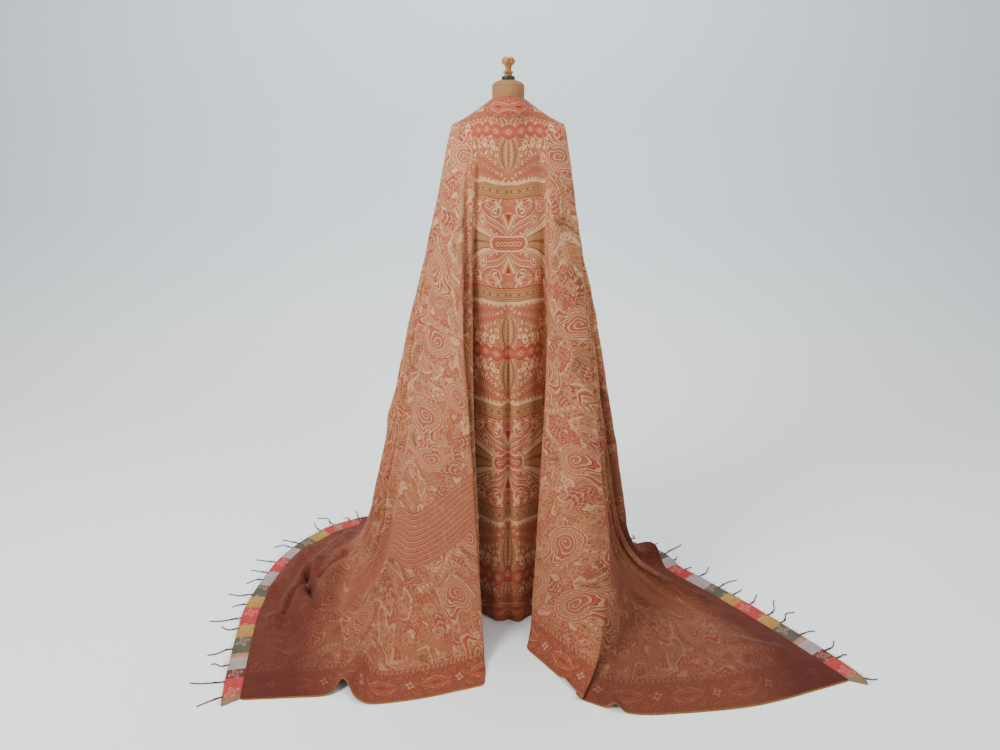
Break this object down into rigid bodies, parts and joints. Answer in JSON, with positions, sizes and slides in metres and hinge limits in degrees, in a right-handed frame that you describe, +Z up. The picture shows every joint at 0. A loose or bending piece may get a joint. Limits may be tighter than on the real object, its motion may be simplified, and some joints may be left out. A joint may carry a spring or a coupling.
{
  "type": "paisley shawl on a dress form",
  "caption": "Long woven wool shawl, draped from the shoulders of an antique dress form to the floor in deep folds, its two fringed ends spread as trains.",
  "frame": {"origin": "on the floor, in the middle of the form's round base", "axes": "+Z up, +Y towards the open front of the shawl, -Y towards the back that the picture shows, +X towards the shorter train"},
  "size_m": [2.0373, 1.1191, 1.716],
  "materials": {
    "paisley wool": "woven paisley twill in rose, cream, olive and brown",
    "harlequin band": "blocks of red, ochre, grey-green and lilac-white",
    "dark wool fringe": "knotted dark grey-green wool",
    "tan linen": "plain tan linen cover",
    "turned wood": "polished honey brown",
    "black cap": "worn black disc",
    "black iron": "black"
  },
  "bodies": {
    "root": {"shawl_left_front": "paisley wool", "shawl_left_side": "paisley wool", "shawl_left_train": "paisley wool", "shawl_left_fall": "paisley wool", "shawl_left_pleat": "paisley wool", "shawl_back_panel": "paisley wool", "shawl_right_pleat": "paisley wool", "shawl_right_fall": "paisley wool", "shawl_right_side": "paisley wool", "shawl_right_train": "paisley wool", "shawl_right_side_fold": "paisley wool", "shawl_right_front": "paisley wool", "band_left": "harlequin band", "band_right": "harlequin band", "fringe_left_near": "dark wool fringe", "fringe_left_far": "dark wool fringe", "fringe_right_near": "dark wool fringe", "fringe_right_far": "dark wool fringe", "form_body": "tan linen", "form_cap": "black cap", "form_finial": "turned wood", "form_pole": "black iron", "form_base": "black iron"}
  },
  "joints": []
}
